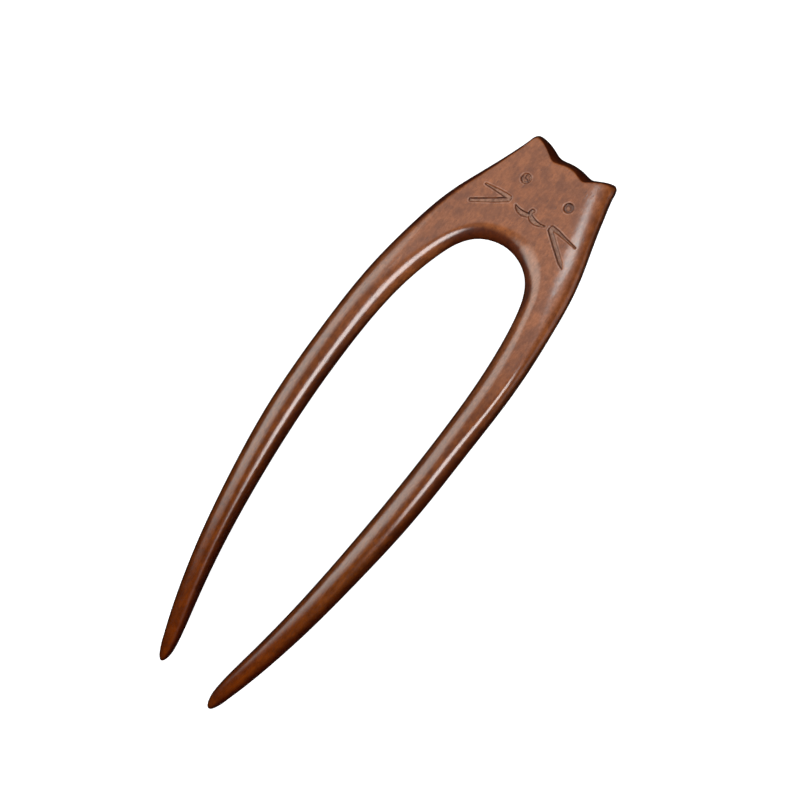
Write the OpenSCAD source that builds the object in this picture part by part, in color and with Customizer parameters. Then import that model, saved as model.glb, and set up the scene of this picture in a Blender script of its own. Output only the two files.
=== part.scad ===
// Two-pronged hair fork, carved from one piece of wood.
// A flat head with two ears and an engraved cat face runs down over an arch
// into two slender prongs, and the whole fork is bowed along its length.
// Units are millimetres. The prongs point to -Y, the ears to +Y and the face
// looks up to +Z. The fork rests on its two tips and on its ears, at Z = 0.

/* [Prongs] */
// Depth of the gap, from the tips of the prongs to the top of the arch
gap_l = 121.2; // [95:0.1:145]
// Widest clear gap between the prongs
gap_w = 29.4; // [22:0.1:36]
// Width of a prong at its widest
prong_w = 7.5; // [5.5:0.1:10]
// Thickness of a prong at its thickest
prong_t = 5.1; // [3.5:0.1:7]
// Length of the rounded end of each prong
nose_l = 4; // [2:0.1:8]

/* [Head] */
// Height of the head, from the top of the arch to the tips of the ears
head_h = 23.8; // [20:0.1:30]
// Width of the head level with the top of the arch
head_w = 37.4; // [32:0.1:44]
// Thickness of the head
head_t = 4.7; // [3.5:0.1:6.5]
// Distance between the tips of the ears
ear_span = 20.4; // [16:0.1:26]
// Depth of the notches between the ears and the crown
notch_d = 2; // [0.5:0.1:3]

/* [Bow] */
// How far the middle of the fork rises above a straight line between its ends
bow_rise = 6.3; // [0:0.1:12]
// How much the highest point of the bow leans towards the head
bow_lean = 0.3; // [0:0.05:0.8]

/* [Edges] */
// Width of the rounding along the inside of the arch
arch_round = 4.4; // [2:0.1:6]
// Width of the rounding along the sides of the head
side_round = 2.7; // [1:0.1:4]
// Width of the rounding over the ears and the crown
crown_round = 1; // [0.5:0.1:2]
// Fullness of every rounding: 2 is an ellipse, more is squarer
edge_power = 2.2; // [1.8:0.1:3]

/* [Hand carving] */
// How far the crown is set to the right of the middle
crown_shift = 1.3; // [0:0.1:2]
// How much higher the right ear stands than the left one
ear_uneven = 0.5; // [0:0.1:1.5]
// How much wider the left prong is than the right one, where the gap is deepest
prong_uneven = 0.6; // [0:0.1:1.2]
// How far the engraved face is set to the right of the middle
face_shift = 0.3; // [0:0.1:1]

/* [Engraved face] */
// Width of the engraved lines
line_w = 0.9; // [0.4:0.05:1.4]
// Depth of the engraved lines
line_d = 0.4; // [0.2:0.05:0.8]
// Distance between the middles of the eyes
eye_gap = 11.9; // [8:0.1:14]
// Height of the eyes above the top of the arch
eye_up = 14.1; // [13:0.1:16]
// Diameter of each eye, across the middle of its line
eye_d = 1.7; // [1.2:0.1:3]
// Distance between the inner ends of the whiskers
whisker_gap = 11.2; // [10:0.1:13]
// Height of the whiskers' inner ends above the top of the arch
whisker_up = 8.4; // [7:0.1:10]
// Length of each upper whisker
upper_whisker_l = 7; // [4:0.1:8]
// Length of each lower whisker
lower_whisker_l = 9.1; // [5:0.1:9.5]
// Slope of the upper whiskers, down from the level
upper_whisker_slope = 5; // [0:1:15]
// Slope of the lower whiskers, down from the level
lower_whisker_slope = 33; // [20:1:38]
// Width of the mouth
mouth_w = 8.4; // [5:0.1:9]
// Height of the mouth's corners above the top of the arch
mouth_up = 8.1; // [6.5:0.1:9]
// Height of the nose above the mouth's corners
nose_up = 1.4; // [0.8:0.1:3]

/* [Hidden] */

fork_l = gap_l + head_h;
ear_x = ear_span / 2;

// Steps between two rows of a table along the prongs and sides, and over the ears
row_steps = 2;
ear_steps = 3;
// Rings over each rounded end, steps over a quarter of a ring and over its flats
nose_rings = 5;
quarter_steps = 4;
flat_steps = 3;
// Sides of an engraved groove's end and of an eye's ring
gouge_sides = 8;
eye_sides = 20;

// Sections of a prong, from its tip to the widest gap, in shares:
// along = height of both edges, of gap_l
// gap = inner edge's distance from the middle, of half gap_w
// width = distance between the edges, of prong_w
// thick = thickness, of prong_t
LEG_ALONG = 0;
LEG_GAP = 1;
LEG_WIDTH = 2;
LEG_THICK = 3;
leg_rows = [
    [-0.0015, 0.449, 0.383, 0.42],
    [0.0180, 0.459, 0.420, 0.47],
    [0.0400, 0.468, 0.515, 0.54],
    [0.0660, 0.496, 0.599, 0.61],
    [0.1050, 0.558, 0.665, 0.69],
    [0.1650, 0.655, 0.725, 0.77],
    [0.2450, 0.765, 0.796, 0.85],
    [0.3300, 0.850, 0.855, 0.91],
    [0.4150, 0.914, 0.930, 0.96],
    [0.5000, 0.963, 0.991, 0.99],
    [0.5850, 0.994, 1.000, 1.00],
    [0.6700, 1.001, 1.000, 1.00],
];

// Sections from the widest gap over the arch to the sides of the head, in shares:
// along, gap = inner edge, as above
// level = outer edge's height above the top of the arch, of head_h
// spread = outer edge's distance from the middle, 0 at the ears' and 1 at the head's
// thick = thickness, of head_t
// inner, outer = width of the roundings, of arch_round and side_round
SIDE_ALONG = 0;
SIDE_GAP = 1;
SIDE_LEVEL = 2;
SIDE_SPREAD = 3;
SIDE_THICK = 4;
SIDE_INNER = 5;
SIDE_OUTER = 6;
side_rows = [
    [0.7450, 0.987, -1.24, 1.420, 1.085, 0.90, 1.45],
    [0.8080, 0.948, -0.90, 1.384, 1.085, 0.95, 1.50],
    [0.8620, 0.882, -0.61, 1.299, 1.075, 1.00, 1.45],
    [0.9090, 0.793, -0.33, 1.184, 1.055, 1.00, 1.35],
    [0.9455, 0.695, -0.08, 1.062, 1.030, 1.00, 1.20],
    [0.9695, 0.571, 0.15, 0.882, 1.010, 1.00, 1.05],
    [0.9835, 0.432, 0.37, 0.643, 1.000, 1.00, 1.00],
    [0.9912, 0.313, 0.59, 0.406, 1.000, 1.00, 0.95],
    [0.9950, 0.224, 0.77, 0.238, 1.000, 1.00, 0.85],
];

// Sections from an ear to the middle of the crown, in shares:
// along, gap = inner edge, as above
// reach = outer edge's distance from the middle, of half ear_span
// drop = outer edge's distance below the ears' tips, of notch_d
// outer = width of the outer rounding, of crown_round
TOP_ALONG = 0;
TOP_GAP = 1;
TOP_REACH = 2;
TOP_DROP = 3;
TOP_OUTER = 4;
top_rows = [
    [0.9970, 0.164, 1.108, 1.30, 1.6],
    [0.9978, 0.134, 1.082, 0.60, 1.3],
    [0.9984, 0.114, 1.040, 0.05, 1.1],
    [0.9990, 0.094, 0.960, -0.06, 1.0],
    [0.9993, 0.075, 0.800, 0.16, 1.0],
    [0.9996, 0.060, 0.640, 0.50, 1.3],
    [0.9999, 0.045, 0.500, 0.83, 1.9],
    [1.0002, 0.032, 0.360, 0.80, 1.4],
    [1.0004, 0.018, 0.190, 0.62, 1.0],
    [1.0004, 0.000, 0.000, 0.56, 1.0],
];

// The mouth's line from its left corner, as [across, above], in shares of half
// mouth_w from the middle and of nose_up from the level of the corners
mouth_line = [[-1, 0], [-0.72, -0.42], [-0.36, -0.52], [-0.08, -0.1], [0, 0.28],
              [0.08, -0.1], [0.36, -0.52], [0.72, -0.42], [1, 0]];

// Every section as [inner x, inner y, outer x, outer y, half thickness,
// inner rounding, outer rounding, how much of crown_shift it takes]
function leg_section(r) =
    let (inner = r[LEG_GAP] * gap_w / 2, w = r[LEG_WIDTH] * prong_w, y = r[LEG_ALONG] * gap_l)
    [inner, y, inner + w, y, r[LEG_THICK] * prong_t / 2, w / 2, w / 2, 0];
function side_section(r) =
    [r[SIDE_GAP] * gap_w / 2, r[SIDE_ALONG] * gap_l,
     ear_x + r[SIDE_SPREAD] * (head_w / 2 - ear_x), gap_l + r[SIDE_LEVEL] * head_h,
     r[SIDE_THICK] * head_t / 2, r[SIDE_INNER] * arch_round, r[SIDE_OUTER] * side_round, 0];
function top_section(r) =
    [r[TOP_GAP] * gap_w / 2, r[TOP_ALONG] * gap_l,
     r[TOP_REACH] * ear_x, fork_l - r[TOP_DROP] * notch_d,
     head_t / 2, arch_round, r[TOP_OUTER] * crown_round, max(0, 1 - pow(r[TOP_REACH], 2))];
function mirrored(c) = [-c[0], c[1], -c[2], c[3], c[4], c[5], c[6], c[7]];

right_half = concat([for (r = leg_rows) leg_section(r)],
                    [for (r = side_rows) side_section(r)],
                    [for (r = top_rows) top_section(r)]);
middle = len(right_half) - 1;
sections = concat(right_half, [for (i = [middle - 1:-1:0]) mirrored(right_half[i])]);
last = len(sections) - 1;

// Uniform cubic B-spline through the sections: s counts rows from the right tip
function row_at(i) =
    i < 0 ? 2 * sections[0] - sections[1]
    : i > last ? 2 * sections[last] - sections[last - 1]
    : sections[i];
function blend(s) =
    let (i = min(floor(s), last - 1), t = s - i)
    (pow(1 - t, 3) * row_at(i - 1)
     + (3 * pow(t, 3) - 6 * pow(t, 2) + 4) * row_at(i)
     + (-3 * pow(t, 3) + 3 * pow(t, 2) + 3 * t + 1) * row_at(i + 1)
     + pow(t, 3) * row_at(i + 2)) / 6;

// Places of the rings: close together over the rounded ends, then evenly
nose_rows = 2 * nose_l / ((leg_rows[2][LEG_ALONG] - leg_rows[0][LEG_ALONG]) * gap_l);
ear_start = len(leg_rows) + len(side_rows);
right_places = concat(
    [for (i = [0:nose_rings]) nose_rows * (1 - cos(90 * i / nose_rings))],
    [for (i = [ceil(nose_rows * row_steps + 0.5):ear_start * row_steps - 1]) i / row_steps],
    [for (i = [ear_start * ear_steps:middle * ear_steps]) i / ear_steps]);
places = concat(right_places, [for (i = [len(right_places) - 2:-1:0]) last - right_places[i]]);

// Height of the bow above the straight line between the fork's ends
function bow(y) =
    let (t = y / fork_l)
    bow_rise * 4 * t * (1 - t) * (1 + bow_lean * (t - 0.5));

// Rounded edge: how high the surface stands at a share t of the rounding's width
function edge_in(a) = 1 - pow(cos(a), 2 / edge_power);
function edge_up(a) = pow(sin(a), 2 / edge_power);

tip_y = [for (s = [0, last]) (blend(s)[1] + blend(s)[3]) / 2];

// One closed ring of points around the section at s
function ring(s) =
    let (
        c = blend(s),
        in0 = [c[0], c[1]],
        level = min(1, max(0, (c[3] - gap_l) / head_h)),
        out0 = [c[2] + c[7] * crown_shift, c[3] + ear_uneven / 2 * c[2] / ear_x * pow(level, 4)],
        mid = (in0 + out0) / 2,
        to_tip = mid[1] - (s < middle ? tip_y[0] : tip_y[1]),
        nose = sqrt(max(0, 1 - pow(1 - min(1, max(0, to_tip / nose_l)), 2))),
        side = c[0] / (gap_w / 2) * c[1] / gap_l,
        shrink = nose * (1 - side * prong_uneven / 2 / norm(out0 - in0)),
        inner = mid + (in0 - mid) * shrink,
        outer = mid + (out0 - mid) * shrink,
        w = norm(outer - inner),
        half = c[4] * nose,
        fit = min(1, w / max(0.001, (c[5] + c[6]) * shrink)) * shrink,
        ri = c[5] * fit,
        ro = c[6] * fit,
        quarter = [for (i = [0:quarter_steps]) 90 * i / quarter_steps],
        flat = [for (i = [1:flat_steps - 1]) ri + (w - ri - ro) * i / flat_steps],
        top = concat([for (a = quarter) [ri * edge_in(a), half * edge_up(a)]],
                     [for (d = flat) [d, half]],
                     [for (i = [quarter_steps:-1:0])
                         [w - ro * edge_in(quarter[i]), half * edge_up(quarter[i])]]),
        round_trip = concat(top, [for (i = [len(top) - 2:-1:1]) [top[i][0], -top[i][1]]])
    )
    [for (p = round_trip)
        let (q = inner + (outer - inner) * p[0] / max(0.001, w))
        [q[0], q[1], bow(q[1]) + p[1]]];

// The rounded ends close in one point each, the other rings are whole
rings = [for (i = [1:len(places) - 2]) ring(places[i])];
end_points = [ring(places[0])[0], ring(places[len(places) - 1])[0]];
ring_n = len(rings[0]);
raw_points = concat([end_points[0]], [for (r = rings) each r], [end_points[1]]);

// The fork is laid on its lowest points at the tips and at the head
function lowest(points) =
    let (z = min([for (p = points) p[2]]))
    [for (p = points) if (p[2] == z) p][0];
tip_low = lowest([for (p = raw_points) if (p[1] < fork_l / 2) p]);
head_low = lowest([for (p = raw_points) if (p[1] >= fork_l / 2) p]);
function rest_z(y) = tip_low[2] + (y - tip_low[1]) * (head_low[2] - tip_low[2]) / (head_low[1] - tip_low[1]);

// Middle of the fork's outline, which is put over the origin
function middle_of(axis) =
    (min([for (p = raw_points) p[axis]]) + max([for (p = raw_points) p[axis]])) / 2;
centre = [middle_of(0), middle_of(1)];
function placed(p) = [p[0] - centre[0], p[1] - centre[1], p[2] - rest_z(p[1])];

fork_points = [for (p = raw_points) placed(p)];
end_point = len(fork_points) - 1;
function at(i, j) = 1 + i * ring_n + j % ring_n;
fork_faces = concat(
    [for (j = [0:ring_n - 1]) [0, at(0, j), at(0, j + 1)]],
    [for (i = [0:len(rings) - 2], j = [0:ring_n - 1]) [at(i, j), at(i + 1, j), at(i, j + 1)]],
    [for (i = [0:len(rings) - 2], j = [0:ring_n - 1]) [at(i + 1, j), at(i + 1, j + 1), at(i, j + 1)]],
    [for (j = [0:ring_n - 1]) [at(len(rings) - 1, j + 1), at(len(rings) - 1, j), end_point]]);

// Point of the face's surface, from its distance from the middle of the face
// and its height above the top of the arch
function on_face(across, above) =
    let (y = gap_l + above)
    placed([face_shift + across, y, bow(y) + head_t / 2]);
// Slope of the face's surface along Y, taken over one millimetre
function face_slope(above) = atan(on_face(0, above + 0.5)[2] - on_face(0, above - 0.5)[2]);

// Point of a gouge, pressed into the face: a cone with its tip at the groove's bottom
module gouge(across, above, share = 1) {
    translate(on_face(across, above) - [0, 0, line_d * share])
        cylinder(h = 2 * line_d, r1 = 0.02, r2 = line_w * share, $fn = gouge_sides);
}

// Groove from one point of the face to another, narrowing to a share of its width
module groove(from, to, from_share = 1, to_share = 1) {
    hull() {
        gouge(from[0], from[1], from_share);
        gouge(to[0], to[1], to_share);
    }
}

// One whisker from its inner end, sloping down and out and running thin
module whisker(side, start, length, slope) {
    end = start + length * [cos(slope), -sin(slope)];
    groove([side * start[0], start[1]], [side * end[0], end[1]], 1, 0.45);
}

// Ring cut around one eye
module eye(side) {
    translate(on_face(side * eye_gap / 2, eye_up))
        rotate([face_slope(eye_up), 0, 0])
            rotate_extrude($fn = eye_sides)
                polygon([[eye_d / 2 - line_w * 0.6, line_d], [eye_d / 2, -line_d * 0.8],
                         [eye_d / 2 + line_w * 0.6, line_d]]);
}

module face() {
    for (side = [-1, 1]) {
        eye(side);
        whisker(side, [whisker_gap / 2, whisker_up + line_w * 0.4], upper_whisker_l, upper_whisker_slope);
        whisker(side, [whisker_gap / 2, whisker_up - line_w * 0.4], lower_whisker_l, lower_whisker_slope);
    }
    mouth = [for (m = mouth_line) [m[0] * mouth_w / 2, mouth_up + m[1] * nose_up]];
    for (i = [0:len(mouth) - 2])
        groove(mouth[i], mouth[i + 1], i == 0 ? 0.4 : 0.9, i == len(mouth) - 2 ? 0.4 : 0.9);
    groove([0, mouth_up + 0.28 * nose_up], [0, mouth_up + nose_up], 0.9, 0.8);
}

module fork() {
    color("saddlebrown")
        difference() {
            polyhedron(points = fork_points, faces = fork_faces, convexity = 8);
            face();
        }
}

fork();
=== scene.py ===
import math
import bpy
import numpy as np
from mathutils import Matrix, Vector


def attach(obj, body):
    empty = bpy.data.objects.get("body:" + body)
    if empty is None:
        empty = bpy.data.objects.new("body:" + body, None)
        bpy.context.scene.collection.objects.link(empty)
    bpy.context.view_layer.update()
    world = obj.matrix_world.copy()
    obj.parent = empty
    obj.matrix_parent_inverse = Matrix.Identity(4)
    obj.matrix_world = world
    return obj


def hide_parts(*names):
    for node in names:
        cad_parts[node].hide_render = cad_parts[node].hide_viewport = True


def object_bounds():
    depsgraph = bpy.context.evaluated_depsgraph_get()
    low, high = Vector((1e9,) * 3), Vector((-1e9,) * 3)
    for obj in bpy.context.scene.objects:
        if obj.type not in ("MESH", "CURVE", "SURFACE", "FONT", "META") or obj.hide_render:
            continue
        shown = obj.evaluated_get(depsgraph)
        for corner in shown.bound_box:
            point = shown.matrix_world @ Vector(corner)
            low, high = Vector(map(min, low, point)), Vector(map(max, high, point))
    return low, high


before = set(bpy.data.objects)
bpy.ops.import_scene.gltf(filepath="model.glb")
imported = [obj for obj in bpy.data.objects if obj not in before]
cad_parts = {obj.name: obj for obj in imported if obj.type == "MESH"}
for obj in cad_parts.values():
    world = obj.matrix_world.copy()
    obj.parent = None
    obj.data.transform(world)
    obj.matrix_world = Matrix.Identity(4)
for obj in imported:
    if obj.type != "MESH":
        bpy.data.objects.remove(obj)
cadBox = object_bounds()
print("frame loaded, CAD box", [[round(x, 4) for x in corner] for corner in cadBox])

mm = 0.001

# View, as the photo was taken: the camera stands off the aim point in metres, azimuth 0 looks
# along +Y, and the roll turns it about its own line of sight
viewSpec = {
    "aim": (0.0017, 0.0083, 0.005),
    "distance": 0.3658,
    "azimuth": 105.29,
    "elevation": 68.40,
    "roll": -67.05,
    "lens": 75.85,
}


def makeCamera(spec):
    azimuth, elevation = math.radians(spec["azimuth"]), math.radians(spec["elevation"])
    outward = Vector((math.sin(azimuth) * math.cos(elevation),
                      -math.cos(azimuth) * math.cos(elevation),
                      math.sin(elevation)))
    place = Vector(spec["aim"]) + outward * spec["distance"]
    roll = Matrix.Rotation(math.radians(spec["roll"]), 4, "Z")
    data = bpy.data.cameras.new("camera")
    data.lens = spec["lens"]
    data.sensor_width = 36
    data.clip_start = 0.01
    camera = bpy.data.objects.new("camera", data)
    camera.matrix_world = (Matrix.Translation(place)
                           @ (-outward).to_track_quat("-Z", "Y").to_matrix().to_4x4() @ roll)
    bpy.context.scene.collection.objects.link(camera)
    bpy.context.scene.camera = camera


makeCamera(viewSpec)
print("camera set")

# The fork in millimetres, its rows in shares of the lengths above them
forkSpec = {
    "gapLength": 121.2,       # from the tips of the prongs to the top of the arch
    "gapWidth": 29.4,         # widest clear gap
    "prongWidth": 7.5,
    "prongThickness": 5.1,
    "noseLength": 4.0,        # rounded end of a prong
    "headHeight": 23.8,       # from the top of the arch to the tips of the ears
    "headWidth": 37.4,        # level with the top of the arch
    "headThickness": 4.7,
    "earSpan": 20.4,          # between the tips of the ears
    "notchDepth": 2.0,        # of the notches beside the ears
    "bowRise": 6.3,
    "bowLean": 0.3,           # the bow is highest a little towards the head
    "archRound": 4.4,         # width of the rounding inside the arch,
    "sideRound": 2.7,         # at the head's side
    "crownRound": 1.0,        # and on the crown
    "edgePower": 2.2,         # fullness of the roundings, 2 is an ellipse
    "rightPower": 1.98,       # the same on the outer side of the right prong,
    "sidePower": 2.4,         # at the head's right side,
    "archPower": 1.7,         # over the top of the gap
    "crispPower": 1.35,       # and where the notches are filed at a slant
    "notchLean": 0.45,        # a filed edge lies this share of half the thickness lower
    "notchTight": 0.5,        # and is rounded this share less underneath
    "slantPower": 1.6,        # the upper face slants off towards the head's right side:
    "slantReach": 5.8,        # from this far in,
    "slantFall": 0.66,        # by this share of half the thickness,
    "slantFrom": (98, 120),   # coming in between these distances from the tips
    "crownShift": 0.7,        # the crown sits this far to the right
    "crownSkew": 1.15,        # and its left notch this much further, its right one this much less
    "archShift": 0.3,         # the top of the gap sits this far to the right,
    "archFrom": (0.80, 0.97),  # coming in between these shares of the gap's length
    "earUneven": 0.5,         # the right ear stands this much higher than the left
    "prongUneven": 0.6,       # the left prong is this much wider
    "tipUneven": 0.4,         # and this much shorter,
    "tipReach": 0.165,        # drawn in over this share of the gap's length
    "ridgeRight": 0.095,      # the right prong is highest this share of its width outwards
    "ridgeLeft": -0.085,      # and the lower part of the left one this share inwards,
    "ridgeEnd": 0.6,          # up to this share of the gap's length,
    "ridgeFade": 0.25,        # fading out over this share before it
    # a prong from its tip: along, gap, width, thick
    "prongRows": [
        (-0.0015, 0.449, 0.383, 0.42), (0.0180, 0.459, 0.420, 0.47), (0.0400, 0.468, 0.515, 0.54),
        (0.0660, 0.496, 0.599, 0.61), (0.1050, 0.558, 0.665, 0.69), (0.1650, 0.655, 0.725, 0.77),
        (0.2450, 0.765, 0.796, 0.85), (0.3300, 0.850, 0.855, 0.91), (0.4150, 0.914, 0.930, 0.96),
        (0.5000, 0.963, 0.991, 0.99), (0.5850, 0.994, 1.000, 1.00), (0.6700, 1.001, 1.000, 1.00),
    ],
    # over the arch to the head's side: along, gap, level, spread, thick, inner power, inner
    # rounding on the left and on the right, outer rounding and power on the left, outer
    # rounding on the right
    "sideRows": [
        (0.7450, 0.987, -1.24, 1.420, 1.085, 1.95, 0.91, 0.95, 1.45, 2.15, 0.86),
        (0.8080, 0.947, -0.90, 1.384, 1.085, 1.85, 0.85, 1.00, 1.55, 2.05, 0.80),
        (0.8620, 0.880, -0.61, 1.300, 1.075, 1.80, 0.78, 0.98, 1.45, 2.00, 0.76),
        (0.9090, 0.790, -0.33, 1.186, 1.055, 1.75, 0.68, 0.88, 1.25, 1.95, 0.72),
        (0.9440, 0.692, -0.08, 1.066, 1.030, 1.70, 0.64, 0.90, 1.02, 1.95, 0.62),
        (0.9675, 0.569, 0.15, 0.892, 1.010, 1.70, 0.68, 1.00, 0.85, 1.95, 0.48),
        (0.9815, 0.430, 0.37, 0.654, 1.000, 1.70, 0.78, 1.08, 0.76, 1.90, 0.40),
        (0.9890, 0.312, 0.59, 0.416, 1.000, 1.70, 0.86, 1.14, 0.66, 1.85, 0.40),
        (0.9925, 0.224, 0.77, 0.247, 1.000, 1.70, 0.88, 1.18, 0.64, 1.85, 0.42),
    ],
    # from an ear to the middle of the crown: along, gap, reach, drop, outer, crisp
    "topRows": [
        (0.9945, 0.164, 1.108, 1.30, 1.6, 0.0), (0.9951, 0.134, 1.082, 0.60, 1.3, 0.1),
        (0.9955, 0.114, 1.040, 0.05, 1.1, 0.3), (0.9958, 0.094, 0.960, -0.06, 1.1, 0.6),
        (0.9961, 0.075, 0.800, 0.13, 1.3, 1.0), (0.9963, 0.060, 0.640, 0.48, 1.6, 1.0),
        (0.9964, 0.045, 0.500, 0.83, 2.0, 1.0), (0.9965, 0.032, 0.360, 0.80, 1.8, 1.0),
        (0.9966, 0.018, 0.190, 0.62, 1.6, 0.9), (0.9966, 0.000, 0.000, 0.56, 1.5, 0.9),
    ],
    "rowSteps": (7, 10, 6),   # mesh steps between two rows in each of the three tables
    "noseRings": 12,          # over a prong's end
    "upperSteps": 54,         # across the upper side of a section
    "lowerSteps": 30,         # and across its lower side
    "roundSteps": 1.6,        # a rounding has this many times the flat's steps for its width,
    "earSteps": 1.4,          # and up to this many times more at the outer edge by the ears
}


def forkSections(spec):
    # Each row becomes inner x, inner y, outer x, outer y, half thickness, inner rounding,
    # outer rounding, crown weight, crispness, inner power and outer power. A length is the
    # row's share times the size it belongs to. The left half mirrors the right one but for
    # its own ridge, powers, roundings and shorter tip.
    halfGap, earX, length = spec["gapWidth"] / 2, spec["earSpan"] / 2, spec["gapLength"]
    prong, side, top = (np.array(spec[k]) for k in ("prongRows", "sideRows", "topRows"))
    forkLength, full = length + spec["headHeight"], spec["edgePower"]

    def rows(*columns):
        return np.column_stack(np.broadcast_arrays(*columns))

    width = prong[:, 2] * spec["prongWidth"]
    # over the arch the inner rounding goes straight from the right side's to the left side's
    leftRound, rightRound = side[-1, 6:8]
    sign = np.array([[1], [-1]])
    overArch = (rightRound + leftRound + (rightRound - leftRound) * sign * top[:, 1] / top[0, 1]) / 2
    right = np.vstack([
        rows(prong[:, 1] * halfGap, prong[:, 0] * length,
             prong[:, 1] * halfGap + width, prong[:, 0] * length, prong[:, 3] * spec["prongThickness"] / 2,
             width * (0.5 + spec["ridgeRight"]), width * (0.5 - spec["ridgeRight"]),
             0, 0, full, spec["rightPower"]),
        rows(side[:, 1] * halfGap, side[:, 0] * length,
             earX + side[:, 3] * (spec["headWidth"] / 2 - earX), length + side[:, 2] * spec["headHeight"],
             side[:, 4] * spec["headThickness"] / 2,
             side[:, 7] * spec["archRound"], side[:, 10] * spec["sideRound"],
             0, 0, side[:, 5], spec["sidePower"]),
        rows(top[:, 1] * halfGap, top[:, 0] * length,
             top[:, 2] * earX, forkLength - top[:, 3] * spec["notchDepth"], spec["headThickness"] / 2,
             overArch[0] * spec["archRound"], top[:, 4] * spec["crownRound"],
             np.maximum(0, 1 - top[:, 2] ** 2), top[:, 5], spec["archPower"],
             full - top[:, 5] * (full - spec["crispPower"])),
    ])
    left = right * np.array([-1, 1, -1, 1, 1, 1, 1, 1, 1, 1, 1])
    sideLengths = [spec["archRound"], spec["sideRound"], 1]
    left[len(prong):len(prong) + len(side), [5, 6, 10]] = side[:, [6, 8, 9]] * sideLengths
    left[-len(top):, 5] = overArch[1] * spec["archRound"]
    ridge = spec["ridgeLeft"] * np.clip((spec["ridgeEnd"] - prong[:, 0]) / spec["ridgeFade"], 0, 1)
    left[:len(prong), 5:7] = width[:, None] * (0.5 + np.column_stack([ridge, -ridge]))
    left[:len(prong), [9, 10]] = full
    left[:len(prong), [1, 3]] += spec["tipUneven"] * np.clip(1 - prong[:, :1] / spec["tipReach"], 0, 1)
    return np.vstack([right, left[-2::-1]])


def alongRows(rows, s):
    # Uniform cubic B-spline: the value at s blends the four rows around it, weighted by the
    # cubic basis of how far s lies between the middle two.
    last = len(rows) - 1
    padded = np.vstack([2 * rows[0] - rows[1], rows, 2 * rows[-1] - rows[-2]])
    i = np.clip(np.floor(s).astype(int), 0, last - 1)
    t = s - i
    basis = ((1 - t) ** 3, 3 * t ** 3 - 6 * t ** 2 + 4, -3 * t ** 3 + 3 * t ** 2 + 3 * t + 1, t ** 3)
    return sum(b[:, None] * padded[i + k] for k, b in enumerate(basis)) / 6


def strokeDistance(stroke, x, y):
    # Distance from the stroke's line less its half width there, least over its straight runs,
    # and the distance from the line as a share of the half width
    nearest, share = np.full(len(x), 1e3), np.full(len(x), 1e3)
    for (ax, ay, aw), (bx, by, bw) in zip(stroke[:-1], stroke[1:]):
        run = np.array([bx - ax, by - ay])
        t = np.clip(((x - ax) * run[0] + (y - ay) * run[1]) / (run @ run), 0, 1)
        off = np.hypot(x - ax - t * run[0], y - ay - t * run[1])
        half = aw + (bw - aw) * t
        share = np.where(off - half < nearest, off / half, share)
        nearest = np.minimum(nearest, off - half)
    return nearest, share


def smoothStep(low, high, value):
    # t^2 (3 - 2 t), where t is the share of the way from low to high, which may be the lesser
    t = np.clip((value - low) / (high - low), 0, 1)
    return t * t * (3 - 2 * t)


def slantShare(spec, x, y):
    # What the slant leaves of the height, 1 - fall (1 - (1 - (1 - q)^n)^(1/n)), where q is the
    # distance from the head's right side over the reach. The side's line is carried on straight
    # past the ear.
    first = len(spec["prongRows"])
    edge = alongRows(forkSections(spec), np.arange(first, first + len(spec["sideRows"]), 1.0))[:, 2:4]
    edge = np.vstack([edge, 4 * edge[-1] - 3 * edge[-2]])
    q = strokeDistance([(*point, spec["slantReach"]) for point in edge], x, y)[1]
    n = spec["slantPower"]
    fall = spec["slantFall"] * smoothStep(*spec["slantFrom"], y)
    return 1 - fall * (1 - (1 - (1 - np.clip(q, 0, 1)) ** n) ** (1 / n))


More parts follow.
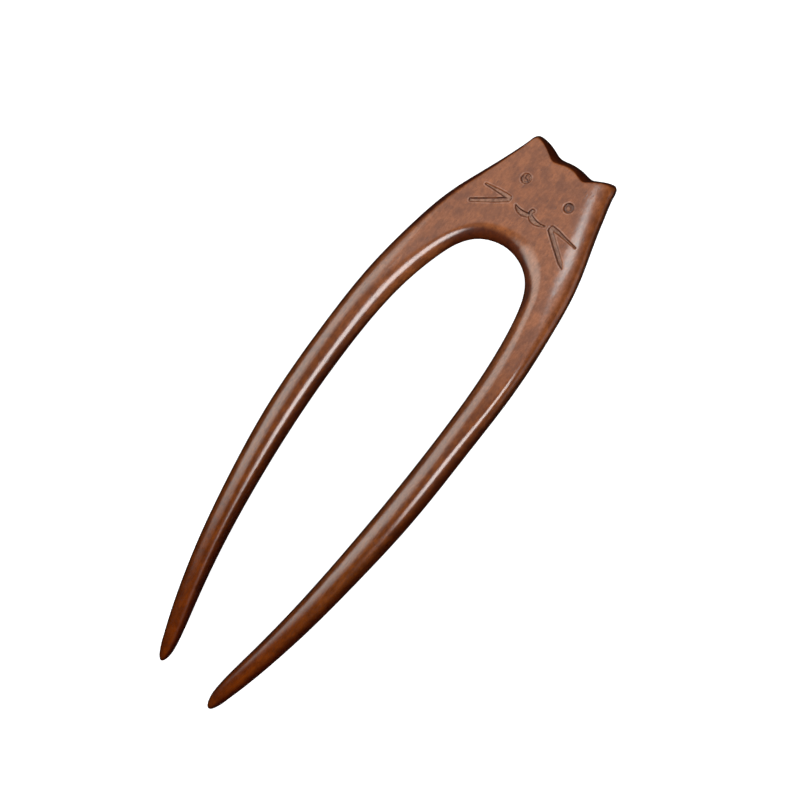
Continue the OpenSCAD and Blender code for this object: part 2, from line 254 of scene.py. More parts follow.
def forkSurface(spec, s, v):
    # s runs along the fork from the right tip over the head to the left tip, v round a section:
    # 0 to 1 over the upper side from the inner to the outer edge, 1 to 2 back underneath.
    # A section is flat in the middle and falls off at each edge as a superellipse quarter, where
    # the way in is r (1 - cos^(2/n) a) and the height h sin^(2/n) a. The width and the height
    # shrink to a point over the nose by sqrt(1 - (1 - distance / nose length)^2). The bow adds
    # rise * 4 t (1 - t) (1 + lean (t - 1/2)) with t the share of the length. One ear is raised
    # by the fourth power of how far up the head the outer edge is.
    sections = forkSections(spec)
    middle = (len(sections) - 1) / 2
    c = alongRows(sections, s)
    innerEdge, outerEdge = c[:, 0:2].copy(), c[:, 2:4].copy()
    towardsArch = smoothStep(*spec["archFrom"], innerEdge[:, 1] / spec["gapLength"])
    innerEdge[:, 0] += spec["archShift"] * towardsArch
    level = np.clip((outerEdge[:, 1] - spec["gapLength"]) / spec["headHeight"], 0, 1)
    outerEdge[:, 1] += spec["earUneven"] * outerEdge[:, 0] / spec["earSpan"] * level ** 4
    outerEdge[:, 0] += c[:, 7] * (spec["crownShift"] - spec["crownSkew"] * 2 * c[:, 2] / spec["earSpan"])
    mid = (innerEdge + outerEdge) / 2
    width = np.linalg.norm(outerEdge - innerEdge, axis=1)

    tipRows = alongRows(sections, np.array([0.0, 2 * middle]))
    tipY = np.where(s < middle, tipRows[0, [1, 3]].mean(), tipRows[1, [1, 3]].mean())
    nearTip = 1 - np.clip((mid[:, 1] - tipY) / spec["noseLength"], 0, 1)
    nose = np.sqrt(np.clip(1 - nearTip ** 2, 0, None))
    side = c[:, 0] / (spec["gapWidth"] / 2) * c[:, 1] / spec["gapLength"]
    shrink = nose * (1 - side * spec["prongUneven"] / 2 / width)
    half, crisp = c[:, 4] * nose, c[:, 8]
    fit = np.minimum(1, width / (c[:, 5] + c[:, 6])) * shrink
    width = width * shrink
    inRound, outRound = c[:, 5] * fit, c[:, 6] * fit
    direction = outerEdge - innerEdge
    innerEdge = mid - direction / 2 * shrink[:, None]

    upper = v <= 1
    u = np.where(upper, v, 2 - v)
    outRound = np.where(upper, outRound, outRound * (1 - spec["notchTight"] * crisp))
    inPower = c[:, 9]
    outPower = np.where(upper, c[:, 10], np.maximum(c[:, 10], spec["edgePower"] * crisp))
    inShare = spec["roundSteps"] * inRound
    outShare = (spec["roundSteps"] + spec["earSteps"] * level) * outRound
    flat = np.maximum(width - inRound - outRound, 0)
    total = np.maximum(inShare + flat + outShare, 1e-9)
    way = u * total
    inAngle = np.clip(way / np.maximum(inShare, 1e-9), 0, 1) * math.pi / 2
    outAngle = np.clip((total - way) / np.maximum(outShare, 1e-9), 0, 1) * math.pi / 2
    across = (inRound * (1 - np.cos(inAngle) ** (2 / inPower))
              + np.clip(way - inShare, 0, flat)
              + outRound * np.cos(outAngle) ** (2 / outPower))
    height = np.sin(inAngle) ** (2 / inPower) * np.sin(outAngle) ** (2 / outPower)
    lean = -spec["notchLean"] * crisp * (1 - np.sin(outAngle) ** (2 / outPower))
    xy = innerEdge + direction * (shrink * across / np.maximum(width, 1e-9))[:, None]
    height *= np.where(upper, slantShare(spec, *xy.T), 1)
    z = half * (np.where(upper, 1, -1) * height + lean)
    t = xy[:, 1] / (spec["gapLength"] + spec["headHeight"])
    bow = spec["bowRise"] * 4 * t * (1 - t) * (1 + spec["bowLean"] * (t - 0.5))
    return np.column_stack([xy, bow + z])


def forkGrid(spec):
    # Values of s: over a rounded end 1 - cos a of its rows for even steps of the angle a, then
    # even steps in each table. Values of v: even steps over the upper and the lower side.
    sections = forkSections(spec)
    middle = (len(sections) - 1) / 2
    prongs, sides = len(spec["prongRows"]), len(spec["sideRows"])
    twoRows = spec["gapLength"] * (spec["prongRows"][2][0] - spec["prongRows"][0][0])
    noseRows = 2 * spec["noseLength"] / twoRows
    edges = (noseRows, prongs, prongs + sides, middle)
    ends = noseRows * (1 - np.cos(np.linspace(0, math.pi / 2, spec["noseRings"] + 1)))
    runs = [np.linspace(a, b, int(round((b - a) * n)) + 1)[1:]
            for a, b, n in zip(edges[:-1], edges[1:], spec["rowSteps"])]
    right = np.concatenate([ends] + runs)
    s = np.concatenate([right, 2 * middle - right[-2::-1]])
    v = np.concatenate([np.linspace(0, 1, spec["upperSteps"] + 1)[:-1],
                        np.linspace(1, 2, spec["lowerSteps"] + 1)[:-1]])
    return s, v


def forkMesh(spec):
    # Grid of s and v as squares, closed at both ends by triangles to a single point. The
    # column at v = 0 also closes each ring, where v would be 2.
    s, v = forkGrid(spec)
    n, m = len(s) - 2, len(v)
    params = np.column_stack([np.repeat(s[1:-1], m), np.tile(v, n)])
    params = np.vstack([params, [s[0], 0.0], [s[-1], 0.0]])
    i, j = np.meshgrid(np.arange(n - 1), np.arange(m), indexing="ij")
    a, b = i * m + j, (i + 1) * m + j
    a2, b2 = i * m + (j + 1) % m, (i + 1) * m + (j + 1) % m
    k = np.arange(m)
    first, last = n * m, n * m + 1
    ends = np.vstack([np.column_stack([np.full(m, first), k, (k + 1) % m]),
                      np.column_stack([np.full(m, last), (n - 1) * m + (k + 1) % m, (n - 1) * m + k])])
    quads = np.stack([a, b, b2, a2], -1).reshape(-1, 4)
    return params, quads, ends


# Engraved lines, in millimetres: each stroke runs through points of across (from the middle),
# above (from the top of the arch) and half its width there
markSpec = {
    "depth": 0.40,
    "wall": 0.26,            # width of a groove's sloping wall
    "hollow": 0.35,          # share of the depth by which the floor rises to its sides
    "shoulder": 0.40,        # the face begins to fall this far outside a groove
    "shoulderDrop": 0.10,    # share of the depth that it falls there
    "rim": 0.30,             # a light rim follows the grooves at this distance,
    "rimFade": 0.5,          # fading to both sides over this share of it
    "strokes": {             # the whiskers, the mouth, the nose and the lines in the eyes
        "leftUpperWhisker": [(-5.75, 8.60, 0.48), (-7.2, 8.56, 0.46), (-9.0, 8.42, 0.36),
                             (-12.0, 8.05, 0.16)],
        "leftLowerWhisker": [(-5.70, 8.10, 0.48), (-8.5, 6.00, 0.46), (-12.4, 3.30, 0.38)],
        "rightUpperWhisker": [(6.25, 8.75, 0.50), (8.0, 8.78, 0.38), (10.3, 8.52, 0.22),
                              (13.0, 8.25, 0.09)],
        "rightLowerWhisker": [(6.25, 8.20, 0.48), (9.5, 5.95, 0.46), (12.7, 3.80, 0.40),
                              (13.7, 3.08, 0.06)],
        "leftLip": [(-3.55, 8.15, 0.08), (-2.95, 7.82, 0.30), (-2.1, 7.55, 0.46), (-1.1, 7.55, 0.56),
                    (-0.1, 7.85, 0.46)],
        "rightLip": [(0.55, 8.10, 0.42), (1.45, 7.65, 0.58), (2.5, 7.50, 0.50), (3.6, 7.65, 0.32),
                     (4.75, 8.10, 0.08)],
        "nose": [(0.45, 8.15, 0.36), (0.25, 8.75, 0.42), (0.32, 9.25, 0.40), (0.62, 9.42, 0.24)],
        "leftCurl": [(-6.13, 14.90, 0.12), (-5.95, 14.05, 0.16), (-5.25, 14.02, 0.16),
                     (-4.90, 13.62, 0.14), (-5.40, 13.30, 0.09)],
        "leftArc": [(-6.60, 14.25, 0.07), (-6.68, 13.70, 0.13), (-6.30, 13.22, 0.13),
                    (-5.75, 13.00, 0.07)],
        "rightCurl": [(5.75, 14.60, 0.12), (6.35, 14.75, 0.16), (6.75, 14.35, 0.12)],
    },
    "inks": {                # how dark they are, from 0 to 1
        "nose": 0.45, "leftCurl": 1.0, "leftArc": 1.0, "rightCurl": 1.0, "rightLowerWhisker": 0.40,
        "rightUpperWhisker": 0.30, "leftLowerWhisker": 0.12, "leftLip": 0.20, "rightLip": 0.10,
    },
    # eyes: across, above, radius to the middle of the ring, half its width, how dark it is and
    # how dark the painted shade line round it
    "eyes": [(-5.66, 14.05, 0.92, 0.20, 0.05, 0.30), (6.22, 14.22, 0.80, 0.30, 0.75, 0.85)],
    "eyeReach": 2,           # the line round an eye is its own up to this many radii out
    "eyeFloor": 0.60,        # share of the depth inside a ring
    "eyeInk": 0.4,           # and of its darkness
    # the painted shade line along a groove's edge: how dark it is and its width in walls, each
    # away from the shaded side and what is added towards it
    "lineShade": (0.35, 0.65),
    "lineWidth": (0.32, 0.38),
    "shadeFrom": (-0.92, 0.38),    # the shaded side of all grooves but these
    "ownShade": {
        "leftUpperWhisker": (0.12, -0.98), "leftLowerWhisker": (-0.60, 0.80), "leftLip": (-0.12, 0.98),
        "rightLip": (-0.12, 0.98), "nose": (-0.85, -0.50), "rightLowerWhisker": (-0.80, -0.60),
        "rightUpperWhisker": (0.0, 1.0),
    },
    "levels": 3,             # times the mesh is split near the grooves,
    "margin": 0.45,          # up to this far outside them
    "lastMargin": 0.55,      # or, the last time, this share of a wall,
    "lastInside": 1.3,       # and then no further inside an edge than this
    "leastSize": 0.10,       # smaller triangles stay whole
    "face": (0.05, 0.98),    # and so do those that reach past these shares of the upper side
}


def markFields(spec, x, y):
    # Returns the distance to the nearest groove's edge, the share of the full depth, how dark
    # the groove is and, for the painted shade line along its edge, how dark it is and its shaded
    # side. A groove's wall falls by a smooth step over its width, and its floor is 1 - hollow q^2
    # deep with q the share of the half width. An eye is a ring of the same kind round a flat floor.
    wall, hollow = spec["wall"], spec["hollow"]
    edge = np.full(len(x), 1e3)
    depth, dark, line = np.zeros(len(x)), np.zeros(len(x)), np.ones(len(x))
    shadeFrom = np.tile(spec["shadeFrom"], (len(x), 1))
    for name, stroke in spec["strokes"].items():
        away, share = strokeDistance(stroke, x, y)
        inside = smoothStep(wall / 2, -wall / 2, away)
        if name in spec["ownShade"]:
            shadeFrom[away < edge] = spec["ownShade"][name]
            edge = np.minimum(edge, away)
        depth = np.maximum(depth, (1 - hollow * np.minimum(share, 1) ** 2) * inside)
        dark = np.maximum(dark, spec["inks"].get(name, 0.0) * inside)
    for cx, cy, radius, half, ink, lineShade in spec["eyes"]:
        fromMiddle = np.hypot(x - cx, y - cy)
        line = np.where(fromMiddle < spec["eyeReach"] * radius, lineShade, line)
        edge = np.minimum(edge, fromMiddle - radius - half)
        away = np.abs(fromMiddle - radius)
        ring = smoothStep(wall / 2, -wall / 2, away - half)
        inside = smoothStep(wall / 2, -wall / 2, fromMiddle - radius)
        depth = np.maximum(depth, ring * (1 - hollow * np.minimum(away / half, 1) ** 2))
        depth = np.maximum(depth, spec["eyeFloor"] * inside)
        dark = np.maximum(dark, ink * np.maximum(ring, spec["eyeInk"] * inside))
    shoulder = spec["shoulderDrop"] * smoothStep(spec["shoulder"], 0, edge)
    return edge, np.maximum(depth, shoulder), dark, line, shadeFrom


def wallShade(spec, x, y):
    # Painted shade: dark lines along the walls, exp(-(edge / width)^2), where the width and the
    # strength grow with how far the way out of the groove, found over a small step, points to the
    # shaded side
    edge, _, _, line, shadeFrom = markFields(spec, x, y)
    (ink, addedShade), (width, addedWidth) = spec["lineShade"], spec["lineWidth"]
    step = 0.02
    out = np.column_stack([markFields(spec, x + step, y)[0], markFields(spec, x, y + step)[0]])
    out -= edge[:, None]
    out /= np.maximum(np.linalg.norm(out, axis=1), 1e-9)[:, None]
    shade = 0.5 + 0.5 * (out * shadeFrom).sum(1)
    reach = spec["wall"] * (width + addedWidth * shade)
    return line * (ink + addedShade * shade) * np.exp(-(edge / reach) ** 2)


def splitNear(params, triangles, marked):
    # Splits each marked triangle in four at the middles of its edges. A neighbour with two
    # split edges is split in four as well, and one with a single split edge in two.
    edges = np.sort(triangles[:, [0, 1, 1, 2, 2, 0]].reshape(-1, 2), axis=1)
    unique, index = np.unique(edges, axis=0, return_inverse=True)
    index = index.reshape(-1, 3)
    split = np.zeros(len(unique), bool)
    split[index[marked].ravel()] = True
    while True:
        two = split[index].sum(1) == 2
        if not two.any():
            break
        split[index[two].ravel()] = True
    number = np.cumsum(split) - 1 + len(params)
    params = np.vstack([params, params[unique[split]].mean(1)])
    count = split[index].sum(1)
    one, three = count == 1, count == 3
    first = np.argmax(split[index[one]], 1)
    take = np.arange(len(first))
    a, b, c = (triangles[one][take, (first + k) % 3] for k in range(3))
    m = number[index[one][take, first]]
    p, q, r = triangles[three].T
    pq, qr, rp = number[index[three]].T
    halves = [np.column_stack(t) for t in ((a, m, c), (m, b, c))]
    quarters = [np.column_stack(t) for t in ((p, pq, rp), (pq, q, qr), (rp, qr, r), (pq, qr, rp))]
    return params, np.vstack([triangles[count == 0]] + halves + quarters)


def layDown(points, spec):
    # Takes a straight line through the lowest points at the tips and at the head off the
    # height, puts the middle of the outline over the middle of the frame's box and shrinks
    # whatever would still stand out of the box.
    half = (spec["gapLength"] + spec["headHeight"]) / 2
    parts = points[points[:, 1] < half], points[points[:, 1] >= half]
    lowest = [part[np.argmin(part[:, 2])] for part in parts]
    slope = (lowest[1][2] - lowest[0][2]) / (lowest[1][1] - lowest[0][1])
    low, high = np.array(cadBox)
    middle = (points[:, :2].min(0) + points[:, :2].max(0)) / 2
    placed = points.copy()
    placed[:, 2] -= lowest[0][2] + (points[:, 1] - lowest[0][1]) * slope
    placed[:, :2] += (low + high)[:2] / 2 / mm - middle
    room = (high - low) / mm / np.array([*(2 * np.abs(placed[:, :2]).max(0)), placed[:, 2].max()])
    placed *= np.minimum(room, 1)
    placed[:, 2] += low[2] / mm
    return placed * mm


def splitSurface(spec, marks):
    # The grid as triangles. Each level splits those whose middle is nearer to a groove than
    # the margin and half their own size.
    params, quads, ends = forkMesh(spec)
    triangles = np.vstack([quads[:, [0, 2, 1]], quads[:, [0, 3, 2]], ends[:, [0, 2, 1]]])
    first, last = marks["face"]
    for level in range(marks["levels"]):
        points = forkSurface(spec, params[:, 0], params[:, 1])
        corners = points[triangles]
        middle = corners.mean(1)
        size = np.linalg.norm(corners.max(1) - corners.min(1), axis=1)
        edge = markFields(marks, middle[:, 0], middle[:, 1] - spec["gapLength"])[0]
        upper = (params[triangles, 1] > first).all(1) & (params[triangles, 1] < last).all(1)
        reach = marks["margin"] if level < marks["levels"] - 1 else marks["lastMargin"] * marks["wall"]
        near = upper & (edge < reach + size / 2) & (size > marks["leastSize"])
        if level == marks["levels"] - 1:
            near &= edge > -marks["lastInside"]
        params, triangles = splitNear(params, triangles, near)
        print("  split", level + 1, "gives", len(triangles), "triangles")
    return params, triangles


# Tones that follow the shape, which the material reads. They are painted shade: steep sides are
# painted darker, more so where they face left or the gap and at the foot of those facing right,
# less so where they face right towards the head, and the filed notches and the left flank are
# painted dark as well. Two values are where a tone comes in or, if the second is less, where it
# fades out. A facing is that part of the normal, 0 where the surface is level and 1 where it
# stands upright. Edges are shares of the way out from the gap, slopes are degrees and the rest
# are millimetres from the tips.
toneSpec = {
    "filedSlope": (25, 50),        # the filed notches are bare and painted dark as shade where they are this steep,
    "filedEdge": (0.86, 0.98),     # fully so at the edge
    "filedInner": 0.45,            # and by this share further in
    "bareLeft": 0.95,              # by this share the outer flanks on the left get that painted shade too,
    "leftShadeFacing": (0.25, 0.50),    # where they face left by this,
    "leftShadeEdge": (0.6, 0.8),        # at the edge
    "leftShadeSlope": (22, 42),         # and this steep,
    "headFrom": (70, 100),         # coming in here towards the head
    "litRight": 0.45,             # from there too flanks count as this share less steep, so less painted shade falls on them,
    "litFacing": (0.3, 0.7),      # where they face right by this
    "shadedLeft": 1.7,             # those to the left or the gap count as this share steeper, so more painted shade falls on them,
    "shadedFacing": (0.15, 0.50),  # where they face there by this
    "shadedInner": (0.34, 0.12),   # or are near the gap,
    "shadedRight": 0.45,           # and by this share the foot of those to the right,
    "footFacing": (0.10, 0.30),    # which comes in
    "footEnd": (0.75, 0.45),       # and ends with how far they face there
    "footTop": (122, 138),         # and fades here
    "footFade": 0.8,               # by this share
    "shadedFrom": (108, 123),      # all of which comes in here
}


def toneFields(tone, spec, s, v, along, normals):
    # Returns the slope in degrees, arccos |z| of the normal changed by the shares above, by which
    # the material paints shade, and the share of bare wood with painted shade: the rows' crispness
    # times the ranges, or the left flank's share
    toRight, toLeft = normals[:, 0], -normals[:, 0]
    out = np.where(v <= 1, v, 2 - v)
    towardsHead = smoothStep(*tone["headFrom"], along)
    slope = np.degrees(np.arccos(np.clip(np.abs(normals[:, 2]), 0, 1)))
    filedAndShaded = alongRows(forkSections(spec), s)[:, 8] * smoothStep(*tone["filedSlope"], slope)
    filedAndShaded *= tone["filedInner"] + (1 - tone["filedInner"]) * smoothStep(*tone["filedEdge"], out)
    bare = smoothStep(*tone["leftShadeFacing"], toLeft) * smoothStep(*tone["leftShadeEdge"], out) * towardsHead
    filedAndShaded = np.maximum(filedAndShaded, tone["bareLeft"] * bare * smoothStep(*tone["leftShadeSlope"], slope))

    toLeftOrGap = smoothStep(*tone["shadedFacing"], -normals[:, :2].min(1))
    shaded = tone["shadedLeft"] * np.maximum(toLeftOrGap, smoothStep(*tone["shadedInner"], out))
    foot = smoothStep(*tone["footFacing"], toRight) * smoothStep(*tone["footEnd"], toRight)
    shaded += tone["shadedRight"] * foot * (1 - tone["footFade"] * smoothStep(*tone["footTop"], along))
    slope *= 1 - tone["litRight"] * smoothStep(*tone["litFacing"], toRight) * towardsHead
    slope *= 1 + shaded * smoothStep(*tone["shadedFrom"], along)
    return slope, filedAndShaded


def triangleMesh(name, places, triangles):
    # A smoothly shaded mesh of places in metres and triples of their numbers
    mesh = bpy.data.meshes.new(name)
    mesh.vertices.add(len(places))
    mesh.vertices.foreach_set("co", places.astype(np.float32).ravel())
    mesh.loops.add(triangles.size)
    mesh.loops.foreach_set("vertex_index", triangles.astype(np.int32).ravel())
    mesh.polygons.add(len(triangles))
    mesh.polygons.foreach_set("loop_start", np.arange(0, triangles.size, 3, dtype=np.int32))
    mesh.polygons.foreach_set("use_smooth", np.ones(len(triangles), bool))
    mesh.update(calc_edges=True)
    mesh.validate()
    return mesh


def makeFork(spec, marks, tone):
    # The split surface, lowered by the depth of the grooves. The light rim beside them is
    # exp(-((edge - rim) / fade)^2).
    params, triangles = splitSurface(spec, marks)
    s, v = params.T
    points = forkSurface(spec, s, v)
    across, along = points[:, 0], points[:, 1]
    edge, depth, dark = markFields(marks, across, along - spec["gapLength"])[:3]
    onFace = (v < 1) & (along > spec["gapLength"])
    depth, dark = np.where(onFace, depth, 0), np.where(onFace, dark, 0)
    wall = np.where(onFace, wallShade(marks, across, along - spec["gapLength"]), 0)
    rimFade = marks["rimFade"] * marks["rim"]
    rim = np.where(onFace, np.exp(-((edge - marks["rim"]) / rimFade) ** 2), 0)
    points[:, 2] -= depth * marks["depth"]
    mesh = triangleMesh("forkBody", layDown(points, spec), triangles)

    normals = np.empty(len(points) * 3, np.float32)
    mesh.vertex_normals.foreach_get("vector", normals)
    slope, filedAndShaded = toneFields(tone, spec, s, v, along, normals.reshape(-1, 3))
    fields = {"carve": depth, "wall": wall, "rim": rim, "dark": dark, "slope": slope, "filedAndShaded": filedAndShaded}
    for name, values in fields.items():
        mesh.attributes.new(name, "FLOAT", "POINT").data.foreach_set("value", values.astype(np.float32))
    fork = bpy.data.objects.new("forkBody", mesh)
    bpy.context.scene.collection.objects.link(fork)
    return fork


fork = makeFork(forkSpec, markSpec, toneSpec)
print("fork built,", len(fork.data.polygons), "triangles")

# The wood: colours are linear, places are metres along Y. A ramp holds the two values between
# which something comes in and how strong it is at each, 0 and 1 where it holds only the first
# two. A pair of tints is what the colour is multiplied by at the darkest and the lightest.
woodSpec = {
    "tipColour": (0.195, 0.031, 0.0010),
    "prongColour": (0.247, 0.059, 0.0078),
    "headColour": (0.385, 0.107, 0.0250),
    "prongRamp": (-0.07, -0.02),                    # where the tips' colour gives way to the prongs'
    "headRamp": (0.0, 0.05),                        # and this to the head's
    "noises": {                                     # cycles to the metre, detail, roughness, and the
        "mottle": (150, 4, 0.6, 0.6),               # share of the cycles along the fork
        "patch": (480, 3, 0.6, 0.75),
        "fibre": (2400, 3, 0.6, 0.07),
        "speckle": (1600, 3, 0.7, 0.65),
        "pores": (2800, 1, 0.4, 0.16),
        "wave": (170, 1, 0.4, 0.5),
        "ripple": (620, 1, 0.4, 0.5),
    },
    "mottleShare": 0.45,                            # of the slow mottling, the rest is speckle
    "mottleRamp": (0.36, 0.64),
    "mottleTints": ((0.82, 0.77, 0.66), (1.18, 1.23, 1.34)),
    "patchRamp": (0.34, 0.66),
    "patchTints": ((0.80, 0.76, 0.70), (1.20, 1.24, 1.30)),
    "poreColour": (0.070, 0.015, 0.003),            # of the pores and the fibres
    "fibreRamp": (0.3, 0.7, 0.28, 0.0),
    "fibreHeadRamp": (0.0, 0.05, 1.0, 0.5),         # the fibres are fainter on the head
    "poreRamp": (0.70, 0.77, 0.0, 0.45),
    "brokenRamp": (0.35, 0.60, 0.45, 1.0),          # the speckle breaks up what the engraving darkens,
    "rimPatchRamp": (0.38, 0.58, 0.25, 1.0),            # and the patches break up the rim
    "wallPatchRamp": (0.36, 0.56, 0.45, 1.0),       # and the walls
    "floorColour": (0.420, 0.225, 0.160),           # of a groove, which is worn and dusty and greyed by a painted sheen
    "floorTints": ((0.60, 0.58, 0.56), (1.30, 1.35, 1.30)),
    "floorRamp": (0.35, 0.9, 0.0, 0.80),
    "rimColour": (0.600, 0.300, 0.200),
    "rimRamp": (0.2, 1.0, 0.0, 0.75),
    "eyeColour": (0.095, 0.034, 0.025),
    "eyeRamp": (0.1, 0.95, 0.0, 0.90),
    # painted shade along the grooves' walls
    "wallShadeColour": (0.045, 0.012, 0.008),
    "wallRamp": (0.10, 0.85, 0.0, 0.95),
    "slopeShadeTint": (0.33, 0.20, 0.10),                # painted shade: what a steep side keeps of the colour
    "slopeRamp": (16.0, 58.0),                      # degrees from level
    "slopeCarveRamp": (0.0, 0.2, 1.0, 0.0),         # grooves aren't darkened for their steepness
    "filedShadeTint": (0.45, 0.26, 0.15),                # and what bare, filed wood and the left flank keep, painted dark as shade
    "roughnessRamp": (-0.04, 0.045, 0.26, 0.50),    # from the tips to the head
    "speckleRoughness": (0.35, 0.65, 0.05, -0.05),  # and more or less with the speckle
    "fibreRelief": 0.5,                             # heights in the fine bump
    "poreRelief": 0.8,
    "speckleRelief": 0.5,
    "fineBump": (0.33, 0.00006),                    # strength and height in metres
    "rippleBump": (1.0, 0.000015),
    "waveBump": (1.0, 0.00005),
    "specular": 0.15,                               # of the wood under its coat of polish
    "coatWeight": 1.0,
    "coatRoughness": 0.13,
    "filedDull": 0.85,                              # share of the coat that bare wood and the shaded left flank lack,
    "carveDull": 0.7,                               # and the floor of a groove
}


class Nodes:
    # Short forms for building nodes. An input is given by its name, or by i and its number.
    def __init__(self, tree):
        self.tree = tree

    def add(self, kind, settings=None, **inputs):
        node = self.tree.nodes.new(kind)
        for name, value in (settings or {}).items():
            setattr(node, name, value)
        for name, value in inputs.items():
            self.put(node.inputs[int(name[1:]) if name[0] == "i" and name[1:].isdigit() else name], value)
        return node

    def put(self, socket, value):
        if isinstance(value, bpy.types.NodeSocket):
            self.tree.links.new(value, socket)
        else:
            socket.default_value = value

    def math(self, operation, a, b=0.0):
        return self.add("ShaderNodeMath", {"operation": operation}, i0=a, i1=b).outputs[0]

    def mix(self, share, a, b, kind="MIX"):
        settings = {"data_type": "RGBA", "blend_type": kind, "clamp_factor": True}
        node = self.add("ShaderNodeMix", settings)
        for socket, value in ((node.inputs[0], share), (node.inputs[6], a), (node.inputs[7], b)):
            self.put(socket, (*value, 1.0) if isinstance(value, tuple) else value)
        return node.outputs[2]

    def ramp(self, value, low, high, toLow=0.0, toHigh=1.0):
        # from toLow up to low, to toHigh from high on, by a smooth step between them
        return self.add("ShaderNodeMapRange", {"interpolation_type": "SMOOTHSTEP"},
                        i0=value, i1=low, i2=high, i3=toLow, i4=toHigh).outputs[0]

    def tint(self, colour, share, tints):
        # the colour times a mix of the two tints
        return self.mix(1.0, colour, self.mix(share, *tints), "MULTIPLY")

    def noise(self, place, scale, detail, roughness, along):
        mapped = self.add("ShaderNodeMapping", Vector=place, Scale=(1, along, 1)).outputs[0]
        return self.add("ShaderNodeTexNoise", Vector=mapped, Scale=scale, Detail=detail,
                        Roughness=roughness).outputs[0]

    def bump(self, height, strength, distance, **inputs):
        return self.add("ShaderNodeBump", Strength=strength, Distance=distance, Height=height,
                        **inputs).outputs[0]

    def attribute(self, name):
        return self.add("ShaderNodeAttribute", {"attribute_name": name}).outputs["Fac"]


def makeWood(spec):
    material = bpy.data.materials.new("polishedWood")
    material.use_nodes = True
    material.node_tree.nodes.clear()
    n = Nodes(material.node_tree)
    place = n.add("ShaderNodeTexCoord").outputs["Object"]
    along = n.add("ShaderNodeSeparateXYZ", Vector=place).outputs["Y"]

    # slow mottling, fibres along the fork, fine speckle and short dark pores
    noise = {name: n.noise(place, *values) for name, values in spec["noises"].items()}
    patch, fibre, speckle = noise["patch"], noise["fibre"], noise["speckle"]
    colour = n.mix(n.ramp(along, *spec["prongRamp"]), spec["tipColour"], spec["prongColour"])
    colour = n.mix(n.ramp(along, *spec["headRamp"]), colour, spec["headColour"])
    mottle = n.math("ADD", n.math("MULTIPLY", noise["mottle"], spec["mottleShare"]),
                    n.math("MULTIPLY", speckle, 1 - spec["mottleShare"]))
    colour = n.tint(colour, n.ramp(mottle, *spec["mottleRamp"]), spec["mottleTints"])
    colour = n.tint(colour, n.ramp(patch, *spec["patchRamp"]), spec["patchTints"])
    fibres = n.math("MULTIPLY", n.ramp(fibre, *spec["fibreRamp"]), n.ramp(along, *spec["fibreHeadRamp"]))
    colour = n.mix(fibres, colour, spec["poreColour"])
    pores = n.ramp(noise["pores"], *spec["poreRamp"])
    colour = n.mix(pores, colour, spec["poreColour"])

    # grooves have a light floor, partly a painted sheen, between walls with dark painted shade, the
    # eyes are dark, the face is lighter round them, and steep sides get painted shade
    carve, filedAndShaded = n.attribute("carve"), n.attribute("filedAndShaded")
    broken = n.ramp(speckle, *spec["brokenRamp"])
    rimBreakup = n.math("MULTIPLY", broken, n.ramp(patch, *spec["rimPatchRamp"]))
    rim = n.math("MULTIPLY", n.ramp(n.attribute("rim"), *spec["rimRamp"]), rimBreakup)
    colour = n.mix(rim, colour, spec["rimColour"])
    # the floor of a groove, partly a painted sheen
    floor = n.tint(spec["floorColour"], n.ramp(speckle, *spec["mottleRamp"]), spec["floorTints"])
    colour = n.mix(n.ramp(carve, *spec["floorRamp"]), colour, floor)
    dark = n.math("MULTIPLY", n.ramp(n.attribute("dark"), *spec["eyeRamp"]), broken)
    colour = n.mix(dark, colour, spec["eyeColour"])
    # painted shade along the grooves' walls, broken up by the patches and the speckle
    wall = n.math("MULTIPLY", n.ramp(n.attribute("wall"), *spec["wallRamp"]),
                  n.ramp(patch, *spec["wallPatchRamp"]))
    colour = n.mix(n.math("MULTIPLY", wall, broken), colour, spec["wallShadeColour"])
    # painted shade on steep sides
    steepShade = n.ramp(n.attribute("slope"), *spec["slopeRamp"])
    steepShade = n.math("MULTIPLY", steepShade, n.ramp(carve, *spec["slopeCarveRamp"]))
    white = (1.0, 1.0, 1.0)
    colour = n.tint(colour, steepShade, (white, spec["slopeShadeTint"]))
    # painted shade on the filed notches and the left flank
    colour = n.tint(colour, filedAndShaded, (white, spec["filedShadeTint"]))

    rough = n.math("ADD", n.ramp(along, *spec["roughnessRamp"]),
                   n.ramp(speckle, *spec["speckleRoughness"]))
    relief = n.math("SUBTRACT", n.math("MULTIPLY", fibre, spec["fibreRelief"]),
                    n.math("MULTIPLY", pores, spec["poreRelief"]))
    relief = n.math("ADD", relief, n.math("MULTIPLY", speckle, spec["speckleRelief"]))
    bump = n.bump(relief, *spec["fineBump"])
    bump = n.bump(noise["ripple"], *spec["rippleBump"], Normal=bump)
    bump = n.bump(noise["wave"], *spec["waveBump"], Normal=bump)
    dull = n.math("MAXIMUM", n.math("MULTIPLY", filedAndShaded, spec["filedDull"]),
                  n.math("MULTIPLY", carve, spec["carveDull"]))
    surface = n.add("ShaderNodeBsdfPrincipled")
    sockets = {
        "Base Color": colour, "Roughness": rough, "Normal": bump, "Specular IOR Level": spec["specular"],
        "Coat Weight": n.math("SUBTRACT", spec["coatWeight"], dull),
        "Coat Roughness": spec["coatRoughness"], "Coat Normal": bump,
    }
    for name, value in sockets.items():
        n.put(surface.inputs[name], value)
    n.add("ShaderNodeOutputMaterial", Surface=surface.outputs[0])
    return material


fork.data.materials.append(makeWood(woodSpec))
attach(fork, "root")
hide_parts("fork")
print("wood set")

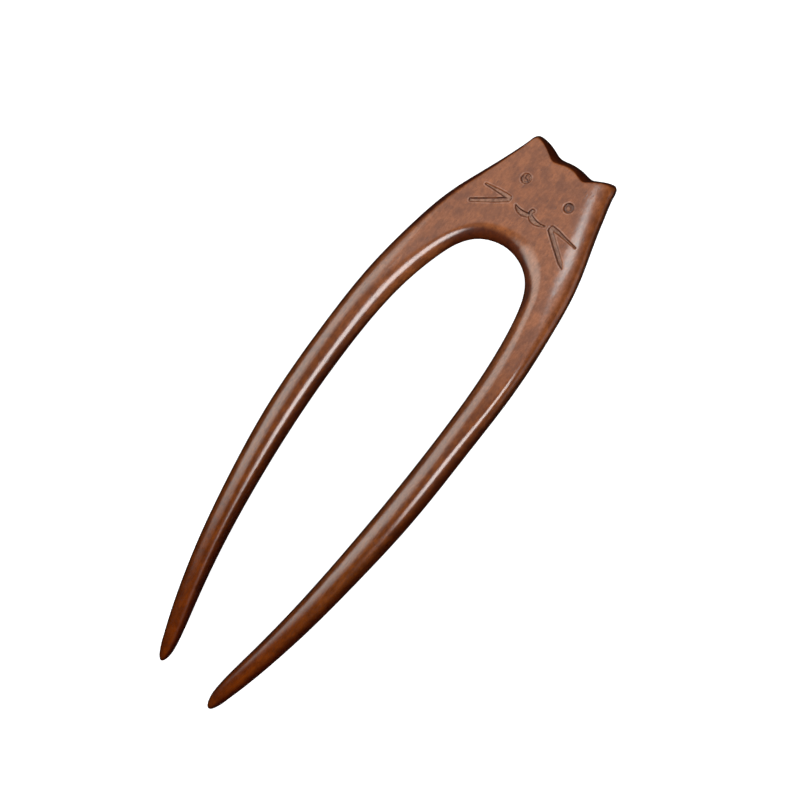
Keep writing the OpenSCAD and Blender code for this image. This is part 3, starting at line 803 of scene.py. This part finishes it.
# Plain pale floor and soft light: each softbox stands at a polar angle from straight up and
# an azimuth from +X, with its width and height in metres. One that doesn't shade is only
# mirrored, and the panel that isn't mirrored only shades.
studioSpec = {
    "floorSize": 4.0,
    "floorColour": (0.86, 0.86, 0.86),
    "floorGlow": 0.9,
    "world": 0.012,          # what the wood mirrors beside the softboxes
    "backdrop": 0.9,         # what the camera sees past the floor
    "distance": 1.0,         # from the origin to each softbox
    "fade": 0.32,            # share of a softbox over which its edge fades
    "softboxes": {
        "rightSoftbox": {"polar": 24.9, "azimuth": -8.7, "size": (0.65, 0.60), "radiance": 12.3,
                         "shades": False},
        "rightPanel": {"polar": 25.0, "azimuth": -10.5, "size": (0.55, 0.60), "radiance": 10.5,
                       "mirrored": False},
        "leftSoftbox": {"polar": 42.0, "azimuth": 190.5, "size": (1.00, 0.80), "radiance": 4.1,
                        "colour": (0.96, 1.04, 1.00), "shades": False},
        "rearSoftbox": {"polar": 26.7, "azimuth": 88.0, "size": (0.215, 0.315), "radiance": 8.4,
                        "colour": (0.82, 1.00, 1.05), "roll": -20.0},
        "upperPanel": {"polar": 30.5, "azimuth": 114.0, "size": (1.20, 1.10), "radiance": 1.2},
        "sideGlow": {"polar": 90.0, "azimuth": 20.0, "size": (1.00, 1.00), "radiance": 0.8,
                     "colour": (0.93, 1.00, 1.08), "shades": False},
    },
}


def makeSoftbox(name, spec, distance, fade):
    # A flat lamp that looks at the origin
    polar, azimuth = math.radians(spec["polar"]), math.radians(spec["azimuth"])
    outward = Vector((math.sin(polar) * math.cos(azimuth),
                      math.sin(polar) * math.sin(azimuth),
                      math.cos(polar)))
    light = bpy.data.lights.new(name, "AREA")
    light.shape = "RECTANGLE"
    light.size, light.size_y = spec["size"]
    # a flat lamp's radiance is its power over pi times its area
    light.energy = spec["radiance"] * math.pi * light.size * light.size_y
    # places across the lamp run from 0 to 1, and its glow falls off over each edge
    light.use_nodes = True
    n = Nodes(light.node_tree)
    across = n.add("ShaderNodeSeparateXYZ", Vector=n.add("ShaderNodeNewGeometry").outputs["Parametric"])
    fromMiddle = [n.math("ABSOLUTE", n.math("SUBTRACT", across.outputs[axis], 0.5)) for axis in ("X", "Y")]
    glow = n.math("MULTIPLY", *(n.ramp(value, 0.5 - fade, 0.5, 1.0, 0.0) for value in fromMiddle))
    n.put(light.node_tree.nodes["Emission"].inputs["Strength"], glow)
    light.color = spec.get("colour", (1.0, 1.0, 1.0))
    lamp = bpy.data.objects.new(name, light)
    lamp.matrix_world = (Matrix.Translation(outward * distance)
                         @ (-outward).to_track_quat("-Z", "Y").to_matrix().to_4x4()
                         @ Matrix.Rotation(math.radians(spec.get("roll", 0.0)), 4, "Z"))
    lamp.visible_camera = False
    lamp.visible_diffuse = spec.get("shades", True)
    lamp.visible_glossy = spec.get("mirrored", True)
    bpy.context.scene.collection.objects.link(lamp)


def makeStudio(spec):
    half = spec["floorSize"] / 2
    mesh = bpy.data.meshes.new("floor")
    corners = [(-half, -half, 0), (half, -half, 0), (half, half, 0), (-half, half, 0)]
    mesh.from_pydata(corners, [], [(0, 1, 2, 3)])
    floor = bpy.data.objects.new("floor", mesh)
    bpy.context.scene.collection.objects.link(floor)
    floor.visible_diffuse = False
    floor.visible_glossy = False
    material = bpy.data.materials.new("paleFloor")
    material.use_nodes = True
    surface = material.node_tree.nodes["Principled BSDF"]
    surface.inputs["Base Color"].default_value = (*spec["floorColour"], 1)
    surface.inputs["Roughness"].default_value = 1.0
    surface.inputs["Specular IOR Level"].default_value = 0.0
    surface.inputs["Emission Color"].default_value = (1, 1, 1, 1)
    surface.inputs["Emission Strength"].default_value = spec["floorGlow"]
    floor.data.materials.append(material)
    world = bpy.data.worlds.new("studio")
    world.use_nodes = True
    n = Nodes(world.node_tree)
    seen = n.add("ShaderNodeLightPath").outputs["Is Camera Ray"]
    glow = n.add("ShaderNodeMapRange", i0=seen, i3=spec["world"], i4=spec["backdrop"]).outputs[0]
    background = world.node_tree.nodes["Background"]
    background.inputs["Color"].default_value = (1, 1, 1, 1)
    n.put(background.inputs["Strength"], glow)
    bpy.context.scene.world = world
    for name, box in spec["softboxes"].items():
        makeSoftbox(name, box, spec["distance"], spec["fade"])


makeStudio(studioSpec)
bpy.context.scene.view_settings.view_transform = "Standard"
print("studio set")
